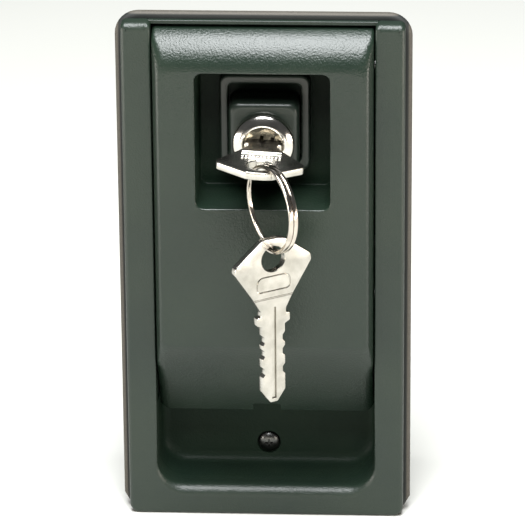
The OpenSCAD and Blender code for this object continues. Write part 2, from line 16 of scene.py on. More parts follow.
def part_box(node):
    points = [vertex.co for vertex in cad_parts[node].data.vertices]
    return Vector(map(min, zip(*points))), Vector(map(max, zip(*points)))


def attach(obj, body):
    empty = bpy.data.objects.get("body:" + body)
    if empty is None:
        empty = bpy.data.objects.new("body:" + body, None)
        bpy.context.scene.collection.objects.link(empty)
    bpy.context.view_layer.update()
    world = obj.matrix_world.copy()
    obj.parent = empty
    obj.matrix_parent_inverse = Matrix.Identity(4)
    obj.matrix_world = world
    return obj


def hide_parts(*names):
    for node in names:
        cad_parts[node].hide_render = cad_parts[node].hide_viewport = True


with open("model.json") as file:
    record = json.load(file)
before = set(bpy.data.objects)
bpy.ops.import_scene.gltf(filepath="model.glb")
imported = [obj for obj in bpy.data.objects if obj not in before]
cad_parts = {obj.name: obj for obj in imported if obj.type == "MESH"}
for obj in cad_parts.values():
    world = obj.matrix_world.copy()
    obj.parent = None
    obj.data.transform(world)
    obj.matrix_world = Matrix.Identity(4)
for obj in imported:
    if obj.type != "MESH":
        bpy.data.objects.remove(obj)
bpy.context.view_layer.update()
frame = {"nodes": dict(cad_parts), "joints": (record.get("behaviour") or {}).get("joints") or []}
joints = {joint["name"]: joint for joint in frame["joints"]}

# %% [markdown]
# ## Sizes
# Pieces are drawn in millimetres, because that is how moulded parts are drawn. Three directions are
# enough: x across the box, q out from the rails' front plane towards the viewer, and z up. The rails'
# plane, the hinge axis and the lock's axis come from the frame.

# %% Sizes taken from the frame
MM = 0.001


def box_mm(node):
    low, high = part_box(node)
    return low / MM, high / MM


frame_low, frame_high = box_mm("front_frame")
door_low, door_high = box_mm("door_shell")
rim_low, rim_high = box_mm("rim_gasket")
RAIL_Y = frame_low.y
HINGE = Vector(joints["door_hinge"]["pos_m"]) / MM
LOCK_Z = joints["lock_turn"]["pos_m"][2] / MM
PANEL_Q = RAIL_Y - door_low.y
HINGE_Q = RAIL_Y - HINGE.y
ROLL_R = PANEL_Q - HINGE_Q
HALF_W = frame_high.x
RAIL_W = 8.8
INNER_W = HALF_W - RAIL_W
FLOOR_Z = rim_low.z
print(f"frame {2 * HALF_W:.1f} mm wide, panel {PANEL_Q:.1f} mm proud, roll {ROLL_R:.1f} mm")

# %% [markdown]
# ## Mesh helpers
# Almost every part of a moulding is a stack of outlines. A rounded edge is the same outline drawn
# again a little smaller and a little deeper, so one function that joins a stack of loops makes walls,
# drafts and fillets alike. Flat ends are filled between their loops, with holes left open.

# %% Points and loops
def point(x, q, z):
    return Vector((x, RAIL_Y - q, z)) * MM


def rounded_rect(x0, z0, x1, z1, low_r, high_r, steps=6):
    corners = [
        (x1 - low_r, z0 + low_r, low_r, -90), (x1 - high_r, z1 - high_r, high_r, 0),
        (x0 + high_r, z1 - high_r, high_r, 90), (x0 + low_r, z0 + low_r, low_r, 180),
    ]
    outline = []
    for cx, cz, r, start in corners:
        for step in range(steps + 1):
            a = math.radians(start + 90 * step / steps)
            outline.append((cx + r * math.cos(a), cz + r * math.sin(a)))
    return outline


def circle_outline(cx, cz, r, count=48):
    turns = [2 * math.pi * i / count for i in range(count)]
    return [(cx + r * math.cos(a), cz + r * math.sin(a)) for a in turns]


def at_depth(outline, q):
    return [point(x, q, z) for x, z in outline]


# %% Joining loops into a mesh
def add_loop(bm, points):
    return [bm.verts.new(p) for p in points]


def join_loops(bm, a, b):
    count = len(a)
    for i in range(count):
        j = (i + 1) % count
        bm.faces.new((a[i], a[j], b[j], b[i]))


def stack(bm, loops):
    rings = [add_loop(bm, loop) for loop in loops]
    for a, b in zip(rings, rings[1:]):
        join_loops(bm, a, b)
    return rings


def loop_edges(bm, ring):
    count = len(ring)
    pairs = [(ring[i], ring[(i + 1) % count]) for i in range(count)]
    return [bm.edges.get(pair) or bm.edges.new(pair) for pair in pairs]


def fill(bm, *rings):
    edges = [edge for ring in rings for edge in loop_edges(bm, ring)]
    bmesh.ops.triangle_fill(bm, edges=edges, use_beauty=True, use_dissolve=False)


def fan_fill(bm, ring):
    bm.faces.new(ring)


def make_piece(name, bm, sharp=38):
    bmesh.ops.recalc_face_normals(bm, faces=bm.faces)
    mesh = bpy.data.meshes.new(name)
    bm.to_mesh(mesh)
    bm.free()
    piece = bpy.data.objects.new(name, mesh)
    bpy.context.scene.collection.objects.link(piece)
    smooth(mesh, sharp)
    return piece


def smooth(mesh, sharp=38):
    mesh.polygons.foreach_set("use_smooth", [True] * len(mesh.polygons))
    mesh.set_sharp_from_angle(angle=math.radians(sharp))


# %% Rounding, cutting and lathe work
def fillet(width, steps=4):
    """Pairs of inset and drop that turn a square edge into a quarter round."""
    angles = [math.pi / 2 * i / steps for i in range(steps + 1)]
    return [(width * (1 - math.cos(a)), width * (1 - math.sin(a))) for a in angles]


def apply_cut(piece, cutter, operation="DIFFERENCE"):
    cut = piece.modifiers.new("cut", "BOOLEAN")
    cut.object = cutter
    cut.operation = operation
    cut.solver = "EXACT"
    finished = bpy.data.meshes.new_from_object(piece.evaluated_get(bpy.context.evaluated_depsgraph_get()))
    piece.modifiers.remove(cut)
    piece.data = finished
    bpy.data.objects.remove(cutter)


def round_edges(piece, width, steps=2, sharp=30, chosen=lambda edge: True):
    bm = bmesh.new()
    bm.from_mesh(piece.data)
    bmesh.ops.remove_doubles(bm, verts=bm.verts, dist=0.002 * MM)
    bmesh.ops.dissolve_limit(bm, angle_limit=math.radians(0.5), verts=bm.verts, edges=bm.edges)
    limit = math.radians(sharp)
    edges = [e for e in bm.edges if len(e.link_faces) == 2 and e.calc_face_angle(0) > limit and chosen(e)]
    bmesh.ops.bevel(
        bm, geom=edges, offset=width * MM, segments=steps, profile=0.5, affect="EDGES", clamp_overlap=True
    )
    bm.to_mesh(piece.data)
    bm.free()
    smooth(piece.data)


WIDE_ROUND = 3.2


def copy_node(node, name, width=0.25, steps=2, chosen_first=None):
    """A piece with a CAD node's shape and softened edges, and a wider round on chosen ones."""
    mesh = frame["nodes"][node].data.copy()
    mesh.materials.clear()
    piece = bpy.data.objects.new(name, mesh)
    bpy.context.scene.collection.objects.link(piece)
    if chosen_first:
        round_edges(piece, WIDE_ROUND, 6, 40, chosen_first)
    round_edges(piece, width, steps)
    return piece


def lathe(name, profile, place, axis="Y", count=64):
    """Turns pairs of radius and length about an axis through place, in millimetres."""
    bm = bmesh.new()
    rings = []
    for r, length in profile:
        ring = []
        for i in range(count):
            a = 2 * math.pi * i / count
            u, v = r * math.cos(a), r * math.sin(a)
            ring.append((u, length, v) if axis == "Y" else (length, u, v))
        rings.append([bm.verts.new((Vector(p) + place) * MM) for p in ring])
    for a, b in zip(rings, rings[1:]):
        join_loops(bm, a, b)
    fan_fill(bm, rings[0])
    fan_fill(bm, rings[-1])
    return make_piece(name, bm)


print("helpers ready")

# %% [markdown]
# ## Materials
# Each finish starts from what the real one is. The colours are written as they look on a screen, and
# one function turns them into the linear values that the shader needs.

# %% Material helpers
def linear(code):
    parts = [int(code[i:i + 2], 16) / 255 for i in (1, 3, 5)]
    return [c / 12.92 if c <= 0.04045 else ((c + 0.055) / 1.055) ** 2.4 for c in parts] + [1.0]


def add(material, kind, settings=(), links=()):
    """Adds a node, sets its sockets and values, and links (socket, node, output) to it."""
    made = material.node_tree.nodes.new(kind)
    for key, value in dict(settings).items():
        if key in made.inputs:
            made.inputs[key].default_value = value
        else:
            setattr(made, key, value)
    for socket, source, output in links:
        material.node_tree.links.new(source.outputs[output], made.inputs[socket])
    return made


def new_material(name, **shader):
    material = bpy.data.materials.new(name)
    material.use_nodes = True
    tree = material.node_tree
    principled = tree.nodes["Principled BSDF"]
    for socket, value in shader.items():
        principled.inputs[socket.replace("_", " ")].default_value = value
    return material, tree, principled


def grain_scale(size_mm):
    """Noise scale that gives features of this size on an object measured in metres."""
    return 1 / (size_mm * MM)


def two_tone(material, principled, noise, dark, light, low=0.35, high=0.65):
    ramp = add(material, "ShaderNodeValToRGB", links=[("Fac", noise, "Fac")])
    ramp.color_ramp.elements[0].position = low
    ramp.color_ramp.elements[1].position = high
    ramp.color_ramp.elements[0].color = linear(dark)
    ramp.color_ramp.elements[1].color = linear(light)
    material.node_tree.links.new(ramp.outputs["Color"], principled.inputs["Base Color"])


def vary_roughness(material, principled, noise, low, high):
    spread = add(material, "ShaderNodeMapRange", {"To Min": low, "To Max": high}, [("Value", noise, "Fac")])
    material.node_tree.links.new(spread.outputs["Result"], principled.inputs["Roughness"])


def add_bump(material, principled, height, strength, depth_mm, under=None):
    bump = add(
        material, "ShaderNodeBump", {"Strength": strength, "Distance": depth_mm * MM},
        [("Height", height, "Fac" if "Fac" in height.outputs else "Distance")],
    )
    if under:
        material.node_tree.links.new(under.outputs["Normal"], bump.inputs["Normal"])
    material.node_tree.links.new(bump.outputs["Normal"], principled.inputs["Normal"])
    return bump


# %% [markdown]
# ### ABS, moulded with a spark-eroded grain
# The mould's walls are etched, so the plastic comes out with a fine pebble of about half a millimetre.
# That breaks a highlight into a soft, sparkling band. A second, slower noise changes the gloss a little,
# as handling does. Deep in a well or a pocket the gloss is turned down with depth, a painted shade that
# darkens the recesses.

# %% Moulded ABS
HANDLING_MM = 28
# The lower specular level is painted shade for the insides of wells and pockets.
SHINE, PAINTED_SHADE_LEVEL = 0.5, 0.07


def moulded_abs(
    name, dark, light, pebble_mm=0.6, depth_mm=0.17, rough=(0.29, 0.35), painted_shade_q=(-10, -14)
):
    material, tree, principled = new_material(name, IOR=1.46)
    coords = add(material, "ShaderNodeTexCoord")
    pebble = add(
        material, "ShaderNodeTexNoise", {"Scale": grain_scale(pebble_mm), "Detail": 2.0, "Roughness": 0.55},
        [("Vector", coords, "Object")],
    )
    handling = add(
        material, "ShaderNodeTexNoise", {"Scale": grain_scale(HANDLING_MM), "Detail": 3.0},
        [("Vector", coords, "Object")],
    )
    two_tone(material, principled, handling, dark, light)
    vary_roughness(material, principled, handling, *rough)
    add_bump(material, principled, pebble, 0.8, depth_mm)
    parts = add(material, "ShaderNodeSeparateXYZ", links=[("Vector", coords, "Object")])
    # Painted shade: the specular level falls with depth, so wells and pockets read darker.
    low_y, high_y = [(RAIL_Y - q) * MM for q in painted_shade_q]
    recess_shade_fade = add(
        material, "ShaderNodeMapRange",
        {"From Min": low_y, "From Max": high_y, "To Min": SHINE, "To Max": PAINTED_SHADE_LEVEL}, [("Value", parts, "Y")],
    )
    material.node_tree.links.new(recess_shade_fade.outputs["Result"], principled.inputs["Specular IOR Level"])
    return material


door_abs = moulded_abs("abs_pebble_door", "#121f17", "#18241b")
frame_abs = moulded_abs("abs_pebble_frame", "#15211a", "#1b261d", rough=(0.36, 0.42), painted_shade_q=(-2, -9))
well_abs = moulded_abs(
    "abs_fine_lock_well", "#151e18", "#1a231d", pebble_mm=0.4, depth_mm=0.02, painted_shade_q=(-10, -12)
)
housing_abs = moulded_abs("abs_pebble_housing", "#15191a", "#1b1f1f", pebble_mm=0.8, rough=(0.4, 0.5))

# %% [markdown]
# ### Rim gasket, foam rubber
# A thin compressed gasket shows as a line round the frame. Rubber is dull. Its outer edge is painted lighter
# and warmer than its face, a painted highlight where the edge catches the light, and its front face is a
# near-black shaded copy. The noise is fine, because the foam's cells are only a few tenths of a millimetre.

# %% Rubber
FOAM_CELL_MM = 0.4
# Widths of the band along the outer edge that is painted lighter, a painted highlight.
LIT_EDGE_SIDE_MM, LIT_EDGE_TOP_MM, LIT_EDGE_FADE_MM = 1.3, 0.8, 0.4


def foam_rubber(name, dark, light):
    material, tree, principled = new_material(name, IOR=1.52)
    coords = add(material, "ShaderNodeTexCoord")
    cells = add(
        material, "ShaderNodeTexNoise", {"Scale": grain_scale(FOAM_CELL_MM), "Detail": 3.0},
        [("Vector", coords, "Object")],
    )
    two_tone(material, principled, cells, dark, light)
    vary_roughness(material, principled, cells, 0.6, 0.8)
    add_bump(material, principled, cells, 0.5, 0.04)
    return material


def edge_band(material, source, output, edge_mm, depth_mm):
    """One near an edge at edge_mm and zero further in, with a short fade between them."""
    start = edge_mm - depth_mm
    return add(
        material, "ShaderNodeMapRange",
        {"From Min": start * MM, "From Max": (start + LIT_EDGE_FADE_MM) * MM}, [("Value", source, output)],
    )


def paint_lit_edge_and_face(material):
    """Paints the gasket's outer edge in the lighter colour as a painted highlight and its front face near black
    as painted shade.
    """
    tree = material.node_tree
    principled = tree.nodes["Principled BSDF"]
    lit_edge_colour = principled.inputs["Base Color"].links[0].from_socket
    coords = add(material, "ShaderNodeTexCoord")
    parts = add(material, "ShaderNodeSeparateXYZ", links=[("Vector", coords, "Object")])
    across = add(material, "ShaderNodeMath", {"operation": "ABSOLUTE"}, [(0, parts, "X")])
    beside = edge_band(material, across, "Value", rim_high.x, LIT_EDGE_SIDE_MM)
    above = edge_band(material, parts, "Z", rim_high.z, LIT_EDGE_TOP_MM)
    outer = add(
        material, "ShaderNodeMath", {"operation": "MAXIMUM"}, [(0, beside, "Result"), (1, above, "Result")]
    )
    mix = add(material, "ShaderNodeMix", {"data_type": "RGBA"})
    tree.links.new(outer.outputs["Value"], mix.inputs["Factor"])
    colours = [socket for socket in mix.inputs if socket.type == "RGBA"]
    # Painted shade: the front face gets this near-black colour, beside the painted highlight on the outer edge.
    colours[0].default_value = linear("#0b100d")
    tree.links.new(lit_edge_colour, colours[1])
    blended = [socket for socket in mix.outputs if socket.type == "RGBA"]
    tree.links.new(blended[0], principled.inputs["Base Color"])


# These lighter, warmer colours are the painted highlight on the gasket's outer edge.
rim_rubber = foam_rubber("foam_rubber_rim", "#3a362f", "#4a463e")
paint_lit_edge_and_face(rim_rubber)
pad_rubber = foam_rubber("moulded_rubber_pads", "#151718", "#1e2021")

# %% [markdown]
# ### Plated metals
# Chrome, nickel and zinc are all thin metal coats. Chrome is nearly a mirror. Nickel on a stamped key is
# warmer, with the fine scratches of use, drawn along one axis by stretching the noise. Zinc on screws and
# pressings is greyer and rougher.

# %% Metals
WEAR_MM = 4


def plated_metal(name, dark, light, rough, scratch_mm=0.5, scratch_depth=0.004, stretch=(1.0, 1.0, 8.0)):
    material, tree, principled = new_material(name, Metallic=1.0)
    coords = add(material, "ShaderNodeTexCoord")
    mapping = add(material, "ShaderNodeMapping", links=[("Vector", coords, "Object")])
    mapping.inputs["Scale"].default_value = stretch
    scratches = add(
        material, "ShaderNodeTexNoise", {"Scale": grain_scale(scratch_mm) / 4, "Detail": 4.0},
        [("Vector", mapping, "Vector")],
    )
    wear = add(
        material, "ShaderNodeTexNoise", {"Scale": grain_scale(WEAR_MM), "Detail": 3.0},
        [("Vector", coords, "Object")],
    )
    two_tone(material, principled, wear, dark, light)
    vary_roughness(material, principled, wear, *rough)
    add_bump(material, principled, scratches, 0.35, scratch_depth)
    return material


chrome = plated_metal("chrome_plate_lock", "#b9b6b0", "#d3cfc8", (0.1, 0.18), scratch_depth=0.003)
nickel = plated_metal("nickel_plate_key", "#a8a59d", "#bebbb4", (0.2, 0.3))
ring_nickel = plated_metal("nickel_plate_ring", "#b0a89e", "#cdc5ba", (0.12, 0.2))
zinc = plated_metal("zinc_plate_steel", "#8f9090", "#b2b2ae", (0.3, 0.45))
black_zinc = plated_metal("black_zinc_screw", "#4a4b4a", "#5c5c5a", (0.25, 0.35))
brass = plated_metal("worn_brass_plug", "#8d8778", "#b3ab98", (0.12, 0.2))

# %% [markdown]
# ### Bait wax
# Blocks are grain and dye pressed into wax. The wax lets a little light in, so a small amount of
# subsurface scattering keeps it from looking like plastic, and a cell pattern stands for the grain.

# %% Wax
GRAIN_MM = 1.6
LIGHT_REACH_MM = 2


def pressed_wax(name, dark, light):
    material, tree, principled = new_material(name, IOR=1.44, Roughness=0.5)
    principled.inputs["Subsurface Weight"].default_value = 0.2
    principled.inputs["Subsurface Scale"].default_value = LIGHT_REACH_MM * MM
    coords = add(material, "ShaderNodeTexCoord")
    grain = add(
        material, "ShaderNodeTexNoise", {"Scale": grain_scale(GRAIN_MM), "Detail": 4.0},
        [("Vector", coords, "Object")],
    )
    two_tone(material, principled, grain, dark, light, 0.42, 0.6)
    add_bump(material, principled, grain, 0.6, 0.15)
    return material


bait_wax = pressed_wax("pressed_bait_wax", "#1f6f69", "#3f9a8c")
print("materials:", len(bpy.data.materials))


# %% Putting a piece on its body
def place(piece, body, slot, material, *nodes):
    piece.data.materials.clear()
    piece.data.materials.append(material)
    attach(piece, body)
    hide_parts(*nodes)
    print(f"{piece.name}: {len(piece.data.polygons)} faces on {body}")
    return piece


# %% [markdown]
# ## Door
# Seen in slices parallel to the wall, the whole door is one rounded rectangle that changes with depth:
# its sides lean in towards the panel, its top follows the roll about the hinge, and its bottom follows
# the inclined grip face. So the skin is a stack of those slices, the inside is a second stack that lies
# one wall thickness in, and the rolled top needs no special care.

# %% Door slices
DOOR_HALF = door_high.x
PANEL_HALF = DOOR_HALF - 1.6
DOOR_WALL = 2.4
SKIRT_Q = -10.0
GRIP_LOW_Z = door_low.z
GRIP_RISE = 26.4
GRIP_SLOPE = GRIP_RISE / (PANEL_Q - SKIRT_Q)
EDGE_R = 0.9
CREASE_R = 2.6


def quarter_inset(depth, r):
    """How far a quarter round of radius r has come in at this depth under the face."""
    return 0 if depth >= r else r - math.sqrt(r * r - (r - depth) ** 2)


def door_slice(q, inset=0.0):
    face_q = PANEL_Q - inset
    depth = face_q - q
    lean = (DOOR_HALF - PANEL_HALF) * max(0, min(1, (q + inset) / PANEL_Q))
    half = DOOR_HALF - inset - lean - quarter_inset(depth, EDGE_R)
    reach = max(0, (ROLL_R - inset) ** 2 - (q - HINGE_Q) ** 2)
    high = HINGE.z + math.sqrt(reach)
    low = GRIP_LOW_Z + (q - SKIRT_Q) * GRIP_SLOPE + inset * math.hypot(1, GRIP_SLOPE)
    low += quarter_inset(depth, CREASE_R) * 0.35
    high_r = 1.2 + 2.2 * max(0, 1 - depth / 6)
    low_r = 2.6 if q > 0 else 3.4
    return rounded_rect(-half, low, half, high, max(low_r - inset, 0.6), max(high_r - inset * 0.5, 0.6))


def skirt_rim(inset):
    """The back edge: the skirt reaches behind the hinge axis, except along the roll."""
    outline = door_slice(HINGE_Q + 0.01, inset)
    drop = (SKIRT_Q - HINGE_Q) * GRIP_SLOPE
    rim = []
    for x, z in outline:
        under = z < HINGE.z
        low = z < GRIP_LOW_Z + 12
        rim.append(point(x, SKIRT_Q if under else HINGE_Q, z + (drop if low else 0)))
    return rim


def door_skin(inset):
    radius = ROLL_R - inset
    turns = [86, 80, 74, 68, 62, 56, 50, 45, 40, 36, 32, 28, 24, 20, 16.5, 13, 9.5, 6.5, 4, 2]
    depths = [HINGE_Q + radius * math.cos(math.radians(a)) for a in turns]
    return [skirt_rim(inset)] + [at_depth(door_slice(q, inset), q) for q in depths + [PANEL_Q - inset]]


# %% Door shell without its well
def shrink(outline, amount):
    xs = [x for x, z in outline]
    zs = [z for x, z in outline]
    cx, cz = (min(xs) + max(xs)) / 2, (min(zs) + max(zs)) / 2
    kx = 1 - amount / (max(xs) - cx)
    kz = 1 - amount / (max(zs) - cz)
    return [(cx + (x - cx) * kx, cz + (z - cz) * kz) for x, z in outline]


def door_body():
    bm = bmesh.new()
    outer = stack(bm, door_skin(0) + [at_depth(shrink(door_slice(PANEL_Q), 0.5), PANEL_Q)])
    back_q = PANEL_Q - DOOR_WALL
    back_face = at_depth(shrink(door_slice(back_q, DOOR_WALL), 0.5), back_q)
    inner = stack(bm, door_skin(DOOR_WALL) + [back_face])
    join_loops(bm, outer[0], inner[0])
    fan_fill(bm, outer[-1])
    fan_fill(bm, inner[-1])
    return make_piece("door_shell_moulding", bm)


def slab(name, outline, q0, q1):
    bm = bmesh.new()
    rings = stack(bm, [at_depth(outline, q0), at_depth(outline, q1)])
    fan_fill(bm, rings[0])
    fan_fill(bm, rings[1])
    return make_piece(name, bm)


# %% [markdown]
# The lock well is cut through the panel and lined with a cup, as the mould would form it. The cut comes
# after the skin, because the well's upper edge lies where the roll begins, and only a boolean follows
# that curve by itself. The cutter flares at the face, so the cut leaves the mouth already rounded.

# %% Lock well, hinge bores and grip notch
WELL_HALF = 20.0
WELL_LOW, WELL_HIGH = LOCK_Z - 18.8, LOCK_Z + 23.7
WELL_Q = -16.0
WELL_R = 2.4
BARREL_R = 7.5
CUP_R = 4
PIN_BORE_R = 1.55
NOTCH_HALF, NOTCH_UP = 4.3, 2.6


def well_cutter():
    """The room in the well, with a round at its floor and a flare at its mouth."""
    def wall(inset):
        r = max(WELL_R - inset, 0.3)
        return rounded_rect(-WELL_HALF + inset, WELL_LOW + inset, WELL_HALF - inset, WELL_HIGH - inset, r, r)

    floor_r, mouth_r = 0.8, 0.5
    loops = [at_depth(wall(i), WELL_Q + d) for i, d in reversed(fillet(floor_r))]
    for flare, drop in fillet(mouth_r, 5)[1:]:
        loops.append(at_depth(wall(-flare), PANEL_Q - drop + 0.01))
    loops.append(at_depth(wall(-mouth_r - 0.1), PANEL_Q + 3))
    bm = bmesh.new()
    rings = stack(bm, loops)
    fan_fill(bm, rings[0])
    fan_fill(bm, rings[-1])
    return make_piece("well", bm)


door = door_body()
cup_half = WELL_HALF + DOOR_WALL
cup_outline = rounded_rect(-cup_half, WELL_LOW - DOOR_WALL, cup_half, WELL_HIGH + 1.8, CUP_R, CUP_R)
cup = slab("cup", cup_outline, PANEL_Q - 1.6, WELL_Q - DOOR_WALL)
apply_cut(door, cup, "UNION")
apply_cut(door, well_cutter())
apply_cut(door, slab("barrel_hole", circle_outline(0, LOCK_Z, BARREL_R), WELL_Q + 1, WELL_Q - DOOR_WALL - 1))
notch = rounded_rect(-NOTCH_HALF, GRIP_LOW_Z - 4, NOTCH_HALF, GRIP_LOW_Z + NOTCH_UP, 0.8, 0.8)
apply_cut(door, slab("notch", notch, PANEL_Q, SKIRT_Q - 4))
for side in (-1, 1):
    centre = Vector((side * DOOR_HALF, HINGE.y, HINGE.z))
    bore = lathe("bore", [(PIN_BORE_R, -3), (PIN_BORE_R, 3)], centre, "X", 32)
    apply_cut(door, bore)
smooth(door.data)
place(door, "door", "door_plastic", door_abs, "door_shell")


# %% Hinge bosses inside the door
BOSS_R, BOSS_L, BOSS_EDGE = 3.7, 6, 0.3


def hinge_boss(side):
    start, end = side * (DOOR_HALF - DOOR_WALL - BOSS_L), side * (DOOR_HALF - DOOR_WALL + 0.2)
    profile = [
        (PIN_BORE_R, start), (BOSS_R - BOSS_EDGE, start), (BOSS_R, start + side * BOSS_EDGE),
        (BOSS_R, end), (PIN_BORE_R, end),
    ]
    bm = bmesh.new()
    loops = []
    turns = [2 * math.pi * i / 40 for i in range(40)]
    for r, x in profile:
        loops.append([Vector((x, HINGE.y + r * math.cos(a), HINGE.z + r * math.sin(a))) * MM for a in turns])
    made = stack(bm, loops)
    join_loops(bm, made[-1], made[0])
    return make_piece(f"hinge_boss_{'right' if side > 0 else 'left'}", bm)


for side in (-1, 1):
    place(hinge_boss(side), "door", "door_plastic", door_abs)

# %% [markdown]
# ## Front frame
# The rails and the bottom bar are one U. Its outline is not convex, so the stack cannot shrink it about
# a centre. Instead every point moves along its own normal, and the rounding is wide along the pocket's
# lower edge, where fingers reach in, and narrow beside the door.

# %% Frame outline
BAR_TOP = frame_high.z
RAIL_DEPTH = 5.0
POCKET_Z = FLOOR_Z + 9.3
POCKET_R = 8.0
ROOF_Z = box_mm("baffle_shelf")[1].z - 2.0


def arc(cx, cz, r, start, end, steps=8):
    angles = [math.radians(start + (end - start) * i / steps) for i in range(steps + 1)]
    return [(cx + r * math.cos(a), cz + r * math.sin(a)) for a in angles]


def u_outline():
    """The U's outline, anticlockwise, each point with its own rounding width."""
    side = []
    for p in arc(HALF_W - 3, FLOOR_Z + 3, 3, -90, 0):
        side.append((*p, 1.3))
    side.append((HALF_W, 0.0, 1.3))
    for i, p in enumerate(arc(HALF_W - 1.7, BAR_TOP - 1.7, 1.7, 0, 90)):
        side.append((*p, 1.3 + 0.08 * i))
    for i, p in enumerate(arc(INNER_W + 1.5, BAR_TOP - 1.5, 1.5, 90, 180, 5)):
        side.append((*p, 1.9 - 0.26 * i))
    side.append((INNER_W, 40.0, 0.35))
    side.append((INNER_W, -48.0, 0.35))
    side.append((INNER_W, -58.0, 0.8))
    bend = arc(INNER_W - POCKET_R, POCKET_Z + POCKET_R, POCKET_R, 0, -90, 10)
    for i, p in enumerate(bend):
        side.append((*p, 0.9 + 2.4 * i / 10))
    mirrored = [(-x, z, w) for x, z, w in reversed(side)]
    return side + mirrored


def normals_of(outline):
    made = []
    count = len(outline)
    for i in range(count):
        (ax, az), (bx, bz) = outline[i - 1][:2], outline[(i + 1) % count][:2]
        dx, dz = bx - ax, bz - az
        length = math.hypot(dx, dz)
        made.append((dz / length, -dx / length))
    return made


def inset_outline(outline, normals, share):
    return [
        (x - nx * w * share, z - nz * w * share) for (x, z, w), (nx, nz) in zip(outline, normals)
    ]


def u_frame():
    bm = bmesh.new()
    outline = u_outline()
    normals = normals_of(outline)
    loops = [[point(x, -RAIL_DEPTH, z) for x, z, w in outline]]
    for step in range(7):
        a = math.pi / 2 * step / 6
        moved = inset_outline(outline, normals, 1 - math.cos(a))
        loops.append([point(x, -w * (1 - math.sin(a)), z) for (x, z), (_, _, w) in zip(moved, outline)])
    held = inset_outline([(x, z, w + 0.4) for x, z, w in outline], normals, 1)
    loops.append([point(x, 0, z) for x, z in held])
    rings = stack(bm, loops)
    fill(bm, rings[-1])
    fill(bm, rings[0])
    return make_piece("front_frame_rails", bm)


place(u_frame(), "housing", "frame_plastic", frame_abs, "front_frame")


# %% Top bar
BAR_DEPTH = 3.5


def top_bar():
    bm = bmesh.new()
    y_front, y_back = RAIL_Y + BAR_DEPTH, RAIL_Y + RAIL_DEPTH
    low = HINGE.z + ROLL_R + 0.4
    profile = [
        (y_back, low), (y_front + 0.2, low), (y_front, low + 0.2), (y_front, BAR_TOP - 0.1),
        (y_front + 0.1, BAR_TOP), (y_back, BAR_TOP),
    ]
    half = INNER_W + 0.6
    ends = [[bm.verts.new(Vector((x, y, z)) * MM) for y, z in profile] for x in (-half, half)]
    join_loops(bm, *ends)
    for end in ends:
        fan_fill(bm, end)
    return make_piece("front_frame_top_bar", bm)


place(top_bar(), "housing", "frame_plastic", frame_abs)


# %% Finger pocket
PAN_FRONT_Q, PAN_BACK_Q = -4.9, -20.0
PAN_WALL, PAN_OUTER_R, PAN_FLOOR_R = 2.0, 9.0, 3.0
SCREW_UP, SEAT_R = 6.3, 3.7


def finger_pocket():
    bm = bmesh.new()

    def pan(grow, r):
        return rounded_rect(-INNER_W - grow, POCKET_Z - grow, INNER_W + grow, ROOF_Z + grow, r, 1.0, 8)

    outer = pan(PAN_WALL, PAN_OUTER_R)
    loops = [at_depth(outer, PAN_FRONT_Q), at_depth(pan(0, POCKET_R), PAN_FRONT_Q)]
    for inset, drop in fillet(PAN_FLOOR_R, 5):
        loops.append(at_depth(pan(-inset, POCKET_R - inset * 0.6), PAN_BACK_Q + drop))
    rings = stack(bm, loops)
    fan_fill(bm, rings[-1])
    outside = stack(bm, [at_depth(outer, PAN_FRONT_Q), at_depth(outer, PAN_BACK_Q - 2)])
    bmesh.ops.remove_doubles(bm, verts=rings[0] + outside[0], dist=0.001 * MM)
    fan_fill(bm, outside[1])
    return make_piece("front_frame_pocket", bm)


pocket = finger_pocket()
gap = slab("gap", rounded_rect(-INNER_W - 3, GRIP_LOW_Z + 4, INNER_W + 3, HINGE.z, 1, 1), 0, SKIRT_Q - 0.5)
apply_cut(pocket, gap)
screw_seat = circle_outline(0, POCKET_Z + SCREW_UP, SEAT_R, 40)
apply_cut(pocket, slab("head_seat", screw_seat, -15, -20.8))
smooth(pocket.data)
place(pocket, "housing", "frame_plastic", frame_abs)


# %% [markdown]
# The frame's hidden rear, with its fixing posts, hinge cheeks and webs, keeps the CAD shape. A copy of
# that node is cut in two along the rails' back plane, and only the rear half is kept.

# %% Rear of the frame
PAN_ROOM = 2.2


def frame_rear():
    mesh = frame["nodes"]["front_frame"].data.copy()
    mesh.materials.clear()
    bm = bmesh.new()
    bm.from_mesh(mesh)
    bmesh.ops.remove_doubles(bm, verts=bm.verts, dist=0.002 * MM)
    plane_y = (RAIL_Y + RAIL_DEPTH + 0.05) * MM
    whole = list(bm.verts) + list(bm.edges) + list(bm.faces)
    cut = bmesh.ops.bisect_plane(
        bm, geom=whole, plane_co=(0, plane_y, 0), plane_no=(0, 1, 0), clear_inner=True, dist=1e-7
    )
    edges = [g for g in cut["geom_cut"] if isinstance(g, bmesh.types.BMEdge)]
    bmesh.ops.triangle_fill(bm, edges=edges, use_beauty=True)
    return make_piece("front_frame_rear", bm)


rear = frame_rear()
room_half = INNER_W + PAN_ROOM
pan_room = rounded_rect(-room_half, POCKET_Z - PAN_ROOM, room_half, ROOF_Z + PAN_ROOM, 9.2, 1)
apply_cut(rear, slab("pan_room", pan_room, 1, -22.2))
smooth(rear.data)
place(rear, "housing", "frame_plastic", frame_abs)

# %% [markdown]
# ## Rim gasket
# The rim is a flat ring with generous corners at the top and small chamfers at the bottom. Its outer
# edge is rounded over, because that edge catches the light all the way round the box.

# %% Rim gasket
RIM_FRONT_Q = -5.0
RIM_BACK_Q = -8.0
RIM_EDGE_R = 1.1


def rim_outline(inset):
    half, top, low = rim_high.x - inset, rim_high.z - inset, FLOOR_Z + inset
    side = [(half - 3, low), (half - 1.6, low + 1.6), (half, low + 4.5), (half, low + 40)]
    side += arc(half - 7, top - 7, 7, 0, 90, 8)
    return side + [(-x, z) for x, z in reversed(side)]


